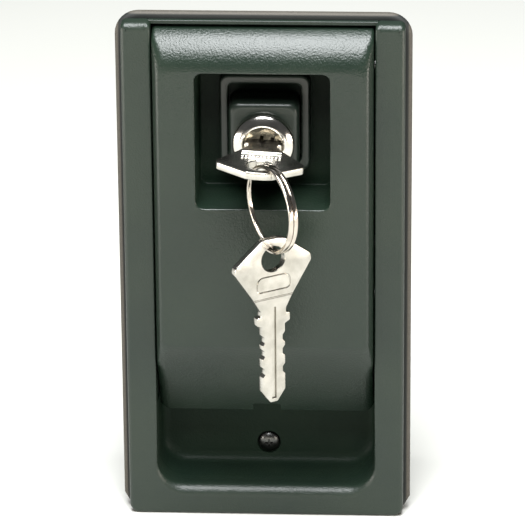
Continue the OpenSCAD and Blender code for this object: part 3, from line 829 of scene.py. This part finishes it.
def rim():
    bm = bmesh.new()
    half = INNER_W + 5.5
    hole = rounded_rect(-half, FLOOR_Z + 2.3, half, HINGE.z + ROLL_R + 0.4, 1.5, 1.5)
    loops = [at_depth(rim_outline(1.5), RIM_BACK_Q)]
    for inset, drop in reversed(fillet(RIM_EDGE_R)):
        loops.append(at_depth(rim_outline(inset), RIM_BACK_Q + drop))
    for inset, drop in fillet(RIM_EDGE_R):
        loops.append(at_depth(rim_outline(inset), RIM_FRONT_Q - drop))
    loops.append(at_depth(rim_outline(1.5), RIM_FRONT_Q))
    rings = stack(bm, loops)
    inner = stack(bm, [at_depth(hole, RIM_BACK_Q), at_depth(hole, RIM_FRONT_Q)])
    fill(bm, rings[0], inner[0])
    fill(bm, rings[-1], inner[1])
    return make_piece("rim_gasket_ring", bm)


place(rim(), "housing", "rim_rubber", rim_rubber, "rim_gasket")

# %% [markdown]
# ## Lock surround
# Inside the well stands a raised collar, and inside the collar a boss carries the lock. Both are stacks
# of rounded rectangles again. The boss has a broad rounded top edge, which is what shows as a pale line
# over the lock.

# %% Lock surround
SURROUND_LOW, SURROUND_HIGH = LOCK_Z - 11.6, LOCK_Z + 18.4
BOSS_LOW, BOSS_HIGH = LOCK_Z - 8.9, LOCK_Z + 12.1
COLLAR_HALF, COLLAR_WALL, BOSS_HALF = 13.5, 2.6, 10.5
COLLAR_Q, RECESS_Q, BOSS_Q = -9.4, -14.0, -2.5


def surround():
    bm = bmesh.new()

    def collar(inset, r):
        half = COLLAR_HALF - inset
        return rounded_rect(-half, SURROUND_LOW + inset, half, SURROUND_HIGH - inset, r, r)

    def boss(inset, r):
        half = BOSS_HALF - inset
        return rounded_rect(-half, BOSS_LOW + inset, half, BOSS_HIGH - inset, r, r)

    loops = [at_depth(collar(0, 2.5), WELL_Q)]
    loops += [at_depth(collar(i, 2.5), COLLAR_Q - d) for i, d in fillet(0.7)]
    loops += [at_depth(collar(COLLAR_WALL - i, 1.8), COLLAR_Q - d) for i, d in reversed(fillet(0.5))]
    loops.append(at_depth(collar(COLLAR_WALL, 1.8), RECESS_Q))
    loops.append(at_depth(boss(-0.1, 3.0), RECESS_Q))
    loops.append(at_depth(boss(0, 3.0), RECESS_Q + 0.2))
    loops += [at_depth(boss(i, 3.0), BOSS_Q - d) for i, d in fillet(1.5, 6)]
    loops.append(at_depth(boss(1.9, 2.6), BOSS_Q))
    rings = stack(bm, loops)
    hole = stack(bm, [at_depth(circle_outline(0, LOCK_Z, BARREL_R), q) for q in (BOSS_Q, WELL_Q)])
    fill(bm, rings[-1], hole[0])
    fill(bm, rings[0], hole[1])
    return make_piece("lock_surround_moulding", bm)


place(surround(), "door", "door_plastic", well_abs, "lock_surround")

# %% [markdown]
# ## Cam lock
# The head is turned from brass and chromed. Its wide bevel mirrors the room, so the profile needs a
# crisp flat and a short round between them rather than a single curve. The plug sits a little way in,
# and the keyway through it is cut, not painted.

# %% Lock body
HEAD_R = 9.2
PLUG_R = 5.9
lock_place = Vector((0, RAIL_Y, LOCK_Z))


def lock_head():
    profile = [
        (PLUG_R + 0.05, 27.0), (BARREL_R - 0.3, 27.0), (BARREL_R, 26.7), (BARREL_R, 2.5), (HEAD_R - 0.1, 2.5),
        (HEAD_R, 2.3), (HEAD_R, -0.5), (HEAD_R - 0.12, -0.75), (HEAD_R - 0.45, -1.0), (HEAD_R - 0.9, -1.25),
        (HEAD_R - 1.4, -1.5), (HEAD_R - 1.9, -1.72), (HEAD_R - 2.4, -1.88), (HEAD_R - 2.8, -1.92),
        (HEAD_R - 3.05, -1.8), (PLUG_R + 0.05, -1.3),
    ]
    bm = bmesh.new()
    loops = []
    turns = [2 * math.pi * i / 96 for i in range(96)]
    for r, depth in profile:
        loops.append([(lock_place + Vector((r * math.cos(a), depth, r * math.sin(a)))) * MM for a in turns])
    rings = stack(bm, loops)
    join_loops(bm, rings[-1], rings[0])
    return make_piece("lock_body_chromed", bm, 30)


place(lock_head(), "door", "chrome", chrome, "lock_body")


# %% Plug with its keyway
PLUG_TURN = Matrix.Rotation(math.radians(3.5), 4, "Y")
KEYWAY_HALF_W, KEYWAY_HALF_H = 4.1, 1.3
WARD_HALF_W = 0.55
WARDS = ((-2.2, -2.6, -1), (1.0, -2.4, -1), (-0.6, 1, 2.6), (2.6, 1, 2.2))


def about_lock(piece):
    """Turns a piece about the lock's axis, to where the open plug stands."""
    centre = Matrix.Translation(Vector((0, 0, LOCK_Z * MM)))
    piece.data.transform(centre @ PLUG_TURN @ centre.inverted())
    return piece


def plug():
    profile = [
        (3.0, 29.7), (3.0, 27.5), (PLUG_R, 27.4), (PLUG_R, 1.1), (PLUG_R - 0.15, 0.8), (PLUG_R - 0.4, 0.7),
    ]
    piece = lathe("lock_plug_turned", profile, lock_place, "Y", 64)
    low, high = LOCK_Z - KEYWAY_HALF_H, LOCK_Z + KEYWAY_HALF_H
    keyway = rounded_rect(-KEYWAY_HALF_W, low, KEYWAY_HALF_W, high, 0.4, 0.4)
    apply_cut(piece, slab("keyway", keyway, 2, -26))
    for x, low, high in WARDS:
        ward = rounded_rect(x - WARD_HALF_W, LOCK_Z + low, x + WARD_HALF_W, LOCK_Z + high, 0.2, 0.2)
        apply_cut(piece, slab("ward", ward, 2, -6))
    smooth(piece.data, 30)
    return about_lock(piece)


place(plug(), "plug", "brass_plug", brass, "lock_plug")

# %% [markdown]
# ## Keys
# A key is stamped from nickel-plated brass sheet. Its outline is cut in one blow and its edges are
# slightly rounded by tumbling. The bow has a pressed outline on one face and a band of fine knurling
# near the neck on the other, and the blade has a long milled groove. Both keys use one function, since
# they are a pair.

# %% Key outline
BOW_W, BOW_H, KEY_T = 26.6, 18.2, 2.3
HOLE_R, HOLE_DROP = 3.9, 6.5
NECK_L, LUG_L, LUG_W = 6.0, 3.5, 11.2
BLADE_W, BLADE_L, NECK_W = 7.8, 24.5, 8.6
NOTCH_DROPS, NOTCH_DEPTH = (4.2, 8.6, 14.4), 0.8
BLADE_TOP = -BOW_H - NECK_L - LUG_L
print(f"key {BOW_W:.1f} mm wide and {BLADE_L - BLADE_TOP:.1f} mm long")


def round_corners(points, steps=4):
    """Replaces each (x, z, r) corner by an arc that touches both of its sides."""
    outline = []
    count = len(points)
    for i, (x, z, r) in enumerate(points):
        here = Vector((x, z))
        before = (Vector(points[i - 1][:2]) - here).normalized()
        after = (Vector(points[(i + 1) % count][:2]) - here).normalized()
        if r == 0:
            outline.append((x, z))
            continue
        half_angle = before.angle(after) / 2
        reach = r / math.tan(half_angle)
        a, b = here + before * reach, here + after * reach
        for step in range(steps + 1):
            t = step / steps
            p = a * (1 - t) ** 2 + here * 2 * t * (1 - t) + b * t * t
            outline.append((p.x, p.y))
    return outline


def key_outline():
    """One side from the bow to the tip, each corner as x, z and its round, then its mirror image."""
    bow, neck, lug, blade = BOW_W / 2, NECK_W / 2, LUG_W / 2, BLADE_W / 2
    shoulder = BLADE_TOP + LUG_L
    tip = BLADE_TOP - BLADE_L
    side = [(1.6, 0, 1.5), (4, -0.5, 1.8), (bow - 0.6, -BOW_H * 0.39, 1.5), (bow - 0.3, -BOW_H * 0.5, 1.5)]
    side += [(neck + 2.6, -BOW_H, 4), (neck, shoulder + 1.5, 1), (neck, shoulder, 0.3)]
    side += [(lug, shoulder, 0.7), (lug, BLADE_TOP + 0.8, 0.5), (blade, BLADE_TOP, 0.2)]
    for drop in NOTCH_DROPS:
        z = BLADE_TOP - drop
        side += [(blade, z + 1.6, 0.25), (blade - NOTCH_DEPTH, z + 0.7, 0.25)]
        side += [(blade - NOTCH_DEPTH, z - 0.7, 0.25), (blade, z - 1.6, 0.25)]
    side += [(blade, tip + 3.6, 1.2), (1.2, tip, 0.6)]
    mirrored = [(-x, z, r) for x, z, r in reversed(side)]
    return list(reversed(round_corners(side + mirrored)))


# %% Key body
BAR_ROWS, DOT_ROWS, ROW_W = (-17.7, -15.9), (-14.0, -12.3), 0.7
BAR_HALF, DOTS, DOT_STEP = 5.8, 11, 1.1
PRESSED_OUTLINE = (-5.6, -16.4, 5.6, -11.8, 1.2, 2.2, 5)
NECK_LINE = (-8.4, -18.9, 8.4, -18.5, 0.19, 0.19, 2)


def ridge(bm, x0, x1, z, height, width, base):
    """A small raised bar with a rounded crest, pressed on one face of the key."""
    half, third, flank = width / 2, width / 3, height * 0.8
    rows = [(-half, 0), (-third, flank), (0, height), (third, flank), (half, 0)]
    sign = 1 if base > 0 else -1
    ends = [
        [bm.verts.new(Vector((x, z + dz, base + sign * (h - 0.05)))) for dz, h in rows] for x in (x0, x1)
    ]
    for i in range(len(rows) - 1):
        bm.faces.new((ends[0][i], ends[0][i + 1], ends[1][i + 1], ends[1][i]))
    for end in ends:
        bm.faces.new(end)
    bm.faces.new([ends[0][0], ends[1][0], ends[1][-1], ends[0][-1]])


def line_cutter(outline, base, radius):
    """A round cutter that follows a closed outline and leaves a thin pressed line."""
    bm = bmesh.new()
    count = len(outline)
    rings = []
    for i, (x, z) in enumerate(outline):
        ahead, behind = Vector(outline[(i + 1) % count]), Vector(outline[i - 1])
        along = (ahead - behind).normalized()
        out = Vector((along.y, -along.x))
        section = []
        for a in range(8):
            c, lift = radius * math.cos(math.pi * a / 4), radius * math.sin(math.pi * a / 4)
            section.append(Vector((x + out.x * c, z + out.y * c, base + lift)) * MM)
        rings.append([bm.verts.new(p) for p in section])
    for i in range(count):
        join_loops(bm, rings[i], rings[(i + 1) % count])
    return make_piece("line", bm)


def flat_key():
    """A key in its own plane: x across, y down the blade, z through its thickness."""
    bm = bmesh.new()
    outline = key_outline()
    normals = normals_of(outline)
    half_t, edge = KEY_T / 2, 0.25
    rounds = fillet(0.3, 3)
    levels = [(inset, drop - half_t) for inset, drop in reversed(rounds)]
    levels += [(inset, half_t - drop) for inset, drop in rounds]
    loops = []
    for inset, t in levels:
        pairs = zip(outline, normals)
        loops.append([Vector((x - nx * inset, z - nz * inset, t)) for (x, z), (nx, nz) in pairs])
    rings = stack(bm, loops)
    hole = [(HOLE_R + edge, -half_t), (HOLE_R, edge - half_t), (HOLE_R, half_t - edge), (HOLE_R + edge, half_t)]
    bores = stack(bm, [[Vector((x, z, t)) for x, z in circle_outline(0, -HOLE_DROP, r, 40)] for r, t in hole])
    fill(bm, rings[0], bores[0])
    fill(bm, rings[-1], bores[-1])
    bmesh.ops.recalc_face_normals(bm, faces=bm.faces)
    return bm


def grip_rows(bm):
    """Two bars and two rows of dots, raised on the key's rear face."""
    back = -KEY_T / 2
    for z in BAR_ROWS:
        ridge(bm, -BAR_HALF, BAR_HALF, z, 0.2, ROW_W, back)
    for z in DOT_ROWS:
        for i in range(DOTS):
            x = DOT_STEP * (i - (DOTS - 1) / 2)
            ridge(bm, x - 0.3, x + 0.3, z, 0.25, ROW_W, back)
    return bm


def groove_cutter(face):
    """The long milled groove: wider at the face than at its floor."""
    bm = bmesh.new()
    z0, z1 = BLADE_TOP + LUG_L + 2.5, BLADE_TOP - BLADE_L + 1.2
    base = face * KEY_T / 2
    mouth, floor = base + face * 0.4, base - face * 0.55
    section = [(-0.9, mouth), (0.9, mouth), (0.55, floor), (-0.55, floor)]
    ends = [[bm.verts.new(Vector((x, z, t)) * MM) for x, t in section] for z in (z0, z1)]
    join_loops(bm, *ends)
    for end in ends:
        fan_fill(bm, end)
    return make_piece("groove", bm)


def key_piece(name, place_matrix):
    bm = flat_key()
    bmesh.ops.transform(bm, matrix=Matrix.Scale(MM, 4), verts=bm.verts)
    piece = make_piece(name, bm, 32)
    for face in (-1, 1):
        apply_cut(piece, groove_cutter(face))
    front = KEY_T / 2
    apply_cut(piece, line_cutter(rounded_rect(*PRESSED_OUTLINE), front, 0.24))
    apply_cut(piece, line_cutter(rounded_rect(*NECK_LINE), front, 0.1))
    dressed = grip_rows(bmesh.new())
    bmesh.ops.transform(dressed, matrix=Matrix.Scale(MM, 4), verts=dressed.verts)
    bmesh.ops.recalc_face_normals(dressed, faces=dressed.faces)
    dressed.from_mesh(piece.data)
    dressed.to_mesh(piece.data)
    dressed.free()
    smooth(piece.data, 32)
    piece.data.transform(place_matrix)
    return piece


# %% [markdown]
# The inserted key lies flat, turned to where the open plug stands. The spare hangs from the ring, and its
# plane faces along the wire at the ring's lowest point. Both places come from the nodes they replace.

# %% Placing the keys
key_front = box_mm("inserted_key")[0].y
in_lock = Matrix.Translation(Vector((0, key_front, LOCK_Z)) * MM) @ Matrix.Rotation(math.pi, 4, "X")
inserted = about_lock(key_piece("inserted_key_stamped", in_lock))
place(inserted, "key", "nickel", nickel, "inserted_key")

RING_AXIS = Vector(joints["ring_swing"]["axis"])
RING_TOP = Vector(joints["ring_swing"]["pos_m"])
RING_R, RING_RISE = 12.8, 2.45
ring_centre = RING_TOP - Vector((0, 0, (RING_R - RING_RISE) * MM))
spare_top = box_mm("spare_key")[1].z
yaw = math.atan2(RING_AXIS.y, RING_AXIS.x) + math.pi / 2
spare_place = Matrix.Translation(Vector((ring_centre.x, ring_centre.y, spare_top * MM)))
hanging = spare_place @ Matrix.Rotation(yaw, 4, "Z") @ Matrix.Rotation(math.pi / 2, 4, "X")
place(key_piece("spare_key_stamped", hanging), "spare", "nickel", nickel, "spare_key")


# %% [markdown]
# ## Split ring
# The ring is one flattened wire wound more than one and a half times. Where the turns lie side by side a
# dark line shows between them, and where only one passes the wire crosses over. A swept section follows
# this path, so the line between the turns is a real gap and the ends are cut square.

# %% Split ring
RING_ENDS, RING_CROSSING = (-110, 480), (120, 250)
TURN_SHIFT = 0.74


def split_ring():
    bm = bmesh.new()
    normal = Vector((-RING_AXIS.y, RING_AXIS.x, 0))
    half_t, half_w, steps = 0.6, 0.69, 190
    first, last = map(math.radians, RING_ENDS)
    crossing_start, crossing_end = map(math.radians, RING_CROSSING)
    rings = []
    for i in range(steps + 1):
        a = first + (last - first) * i / steps
        cross = min(1, max(0, (a - crossing_start) / (crossing_end - crossing_start)))
        shift = TURN_SHIFT * (2 * cross * cross * (3 - 2 * cross) - 1)
        out = RING_AXIS * math.cos(a) + Vector((0, 0, math.sin(a)))
        section = []
        for u, v in rounded_rect(-half_t, -half_w, half_t, half_w, 0.4, 0.4, 3):
            section.append(ring_centre + (out * (RING_R + u) + normal * (shift + v)) * MM)
        rings.append([bm.verts.new(p) for p in section])
    for a, b in zip(rings, rings[1:]):
        join_loops(bm, a, b)
    fan_fill(bm, rings[0])
    fan_fill(bm, rings[-1])
    return make_piece("split_ring_coil", bm, 50)


place(split_ring(), "ring", "nickel", ring_nickel, "split_ring")

# %% [markdown]
# ## Housing and inner parts
# These pieces keep the CAD shape, and only their edges change. Real mouldings and pressings never have
# a perfectly sharp edge, and a narrow bevel is enough to catch the light.

# %% Softened copies
def on_top_corner(edge):
    """The two long corners at the top of the housing, rounder than its other edges."""
    ends = [v.co / MM for v in edge.verts]
    outside = all(abs(e.x) > rim_high.x - WIDE_ROUND and e.z > HINGE.z for e in ends)
    return outside and abs(ends[0].y - ends[1].y) > 10


softened = [
    ("rear_housing", "housing", "housing_plastic", housing_abs, 0.5),
    ("baffle_shelf", "housing", "frame_plastic", frame_abs, 0.25),
    ("bait_tray", "housing", "frame_plastic", housing_abs, 0.3),
    ("door_bumpers", "housing", "rim_rubber", pad_rubber, 0.5),
    ("strike_bar", "housing", "zinc_steel", zinc, 0.2),
    ("lock_washer", "door", "zinc_steel", zinc, 0.12),
    ("lock_nut", "door", "zinc_steel", zinc, 0.3),
    ("cam", "plug", "zinc_steel", zinc, 0.25),
    ("cam_screw", "plug", "zinc_steel", zinc, 0.25),
    ("frame_screws", "housing", "zinc_steel", zinc, 0.15),
    ("strike_screws", "housing", "zinc_steel", zinc, 0.25),
    ("hinge_pin_left", "housing", "zinc_steel", zinc, 0.2),
    ("hinge_pin_right", "housing", "zinc_steel", zinc, 0.2),
]
for node, body, slot, material, width in softened:
    wide = on_top_corner if node == "rear_housing" else None
    piece = copy_node(node, node + "_finished", width, 2, wide)
    place(piece, body, slot, material, node)


# %% [markdown]
# ## Screw in the pocket
# The one screw that shows has a domed head with a cross recess. The dome is turned, and the cross is cut
# by two straight slots.

# %% Pocket screw
SLOT_L, SLOT_W, SLOT_DEPTH = 2.4, 0.55, 0.9


def pocket_screw():
    low, high = box_mm("pocket_screw")
    centre = Vector((0, low.y, (low.z + high.z) / 2))
    r = high.x
    dome = [(0.5, 0), (1.4, 0.05), (r - 1.2, 0.3), (r - 0.4, 0.75), (r, 1.3), (r, 1.6), (1.3, 1.65)]
    piece = lathe("pocket_screw_turned", dome + [(1.3, high.y - low.y)], centre, "Y", 48)
    q = RAIL_Y - low.y
    for wide, tall in ((SLOT_L, SLOT_W), (SLOT_W, SLOT_L)):
        slot = rounded_rect(-wide / 2, centre.z - tall / 2, wide / 2, centre.z + tall / 2, 0.1, 0.1)
        apply_cut(piece, slab("slot", slot, q + 1, q - SLOT_DEPTH))
    smooth(piece.data)
    return piece


place(pocket_screw(), "housing", "zinc_steel", black_zinc, "pocket_screw")


# %% [markdown]
# ## Bait
# Each block is extruded wax with ribs along its sides, cut to length and threaded on a rod. The ribs
# give an animal's teeth a start. The rods are drawn wire with chamfered ends.

# %% Bait blocks and rods
BLOCK_HOLE_R = 2.9
RIBS, RIB_DEPTH, SQUARENESS = 12, 0.045, 6


def bait_block(node):
    low, high = box_mm(node)
    cy, cz = (low.y + high.y) / 2, (low.z + high.z) / 2
    hy, hz = (high.y - low.y) / 2, (high.z - low.z) / 2
    bm = bmesh.new()
    count = 96

    def section(x, shrink_by):
        ring = []
        for i in range(count):
            a = 2 * math.pi * i / count
            c, s = math.cos(a), math.sin(a)
            k = (abs(c) ** SQUARENESS + abs(s) ** SQUARENESS) ** (-1 / SQUARENESS)
            rib = 1 - RIB_DEPTH * (0.5 + 0.5 * math.cos(RIBS * a)) - shrink_by
            ring.append(Vector((x, cy + hy * c * k * rib, cz + hz * s * k * rib)) * MM)
        return ring

    xs = [(low.x, 0.06), (low.x + 0.5, 0.0), (high.x - 0.5, 0.0), (high.x, 0.06)]
    rings = stack(bm, [section(x, s) for x, s in xs])
    hole = circle_outline(cy, cz, BLOCK_HOLE_R, 32)
    bore = stack(bm, [[Vector((x, y, z)) * MM for y, z in hole] for x in (low.x, high.x)])
    fill(bm, rings[0], bore[0])
    fill(bm, rings[-1], bore[1])
    return make_piece(node + "_pressed", bm)


for number in range(1, 5):
    node = f"bait_block_{number}"
    place(bait_block(node), "housing", "bait_wax", bait_wax, node)
for node in ("bait_rod_lower", "bait_rod_upper"):
    low, high = box_mm(node)
    r = (high.z - low.z) / 2
    centre = Vector((0, (low.y + high.y) / 2, (low.z + high.z) / 2))
    profile = [(r - 0.5, low.x), (r, low.x + 0.5), (r, high.x - 0.5), (r - 0.5, high.x)]
    place(lathe(node + "_drawn", profile, centre, "X", 32), "housing", "zinc_steel", zinc, node)

# %% [markdown]
# ## Studio
# The box stands on a pale floor that runs on behind it. One large softbox overhead draws the bright band
# along the rolled top, a weak strip low in front lifts the panel, two cards at the sides light the
# edges and the keys, and the pale floor lights the lower half.

# %% Floor
FLOOR_HALF = 4000


def studio_floor():
    bm = bmesh.new()
    size = FLOOR_HALF
    corners = [(-size, -size), (size, -size), (size, size), (-size, size)]
    bm.faces.new([bm.verts.new(Vector((x, y, FLOOR_Z)) * MM) for x, y in corners])
    floor = make_piece("studio_floor", bm)
    material, tree, principled = new_material("painted_board_floor", Roughness=0.9)
    coords = add(material, "ShaderNodeTexCoord")
    mottle = add(material, "ShaderNodeTexNoise", {"Scale": 3.0}, [("Vector", coords, "Object")])
    two_tone(material, principled, mottle, "#c4c4be", "#c8c8c3")
    floor.data.materials.append(material)
    print("floor at", round(FLOOR_Z, 2), "mm")


studio_floor()


# %% Lights
def softbox(name, place_m, aim_m, size, power, colour="#ffffff"):
    data = bpy.data.lights.new(name, "AREA")
    data.shape = "RECTANGLE"
    data.size, data.size_y = size
    data.energy = power
    data.color = linear(colour)[:3]
    lamp = bpy.data.objects.new(name, data)
    bpy.context.scene.collection.objects.link(lamp)
    lamp.location = place_m
    lamp.rotation_euler = (Vector(aim_m) - Vector(place_m)).to_track_quat("-Z", "Y").to_euler()
    print(f"{name}: {power} W")


softbox("overhead_softbox", (0.0, -0.338, 0.921), (0, -0.045, 0.07), (0.55, 0.917), 36, "#fbfdff")
softbox("left_card", (-0.55, -0.3, 0.0), (0, -0.04, 0), (0.5, 0.12), 2.4, "#fff8f0")
softbox("right_card", (0.55, -0.3, 0.0), (0, -0.04, 0), (0.5, 0.12), 2.4, "#fff4e8")
softbox("low_front_card", (0.0, -0.5, -0.055), (0, -0.045, -0.08), (0.5, 0.05), 0.3, "#fff6e6")

world = bpy.data.worlds.new("studio_room")
world.use_nodes = True
world.node_tree.nodes["Background"].inputs["Color"].default_value = linear("#dfe2e4")
world.node_tree.nodes["Background"].inputs["Strength"].default_value = 0.12
bpy.context.scene.world = world
bpy.context.scene.view_settings.view_transform = "Standard"

# %% [markdown]
# ## Camera
# A long lens from slightly above shows the front almost without perspective, and just enough of the top
# to read the rolled edge.

# %% Camera
ELEVATION, AZIMUTH, ROLL = math.radians(22.0), math.radians(3.14), math.radians(0.48)
DISTANCE, LENS = 1.238, 283.0
target = Vector((-0.0005, RAIL_Y * MM, 0.0004))
back = Vector((
    math.sin(AZIMUTH) * math.cos(ELEVATION), -math.cos(AZIMUTH) * math.cos(ELEVATION), math.sin(ELEVATION)
))
camera_data = bpy.data.cameras.new("camera")
camera_data.lens = LENS
camera_data.sensor_width = 36.0
camera_data.clip_start, camera_data.clip_end = 0.05, 30.0
camera = bpy.data.objects.new("camera", camera_data)
bpy.context.scene.collection.objects.link(camera)
camera.location = target + back * DISTANCE
facing = (-back).to_track_quat("-Z", "Y").to_matrix().to_4x4()
camera.rotation_euler = (facing @ Matrix.Rotation(-ROLL, 4, "Z")).to_euler()
bpy.context.scene.camera = camera
print(f"camera {DISTANCE:.2f} m away with a {LENS:.0f} mm lens")
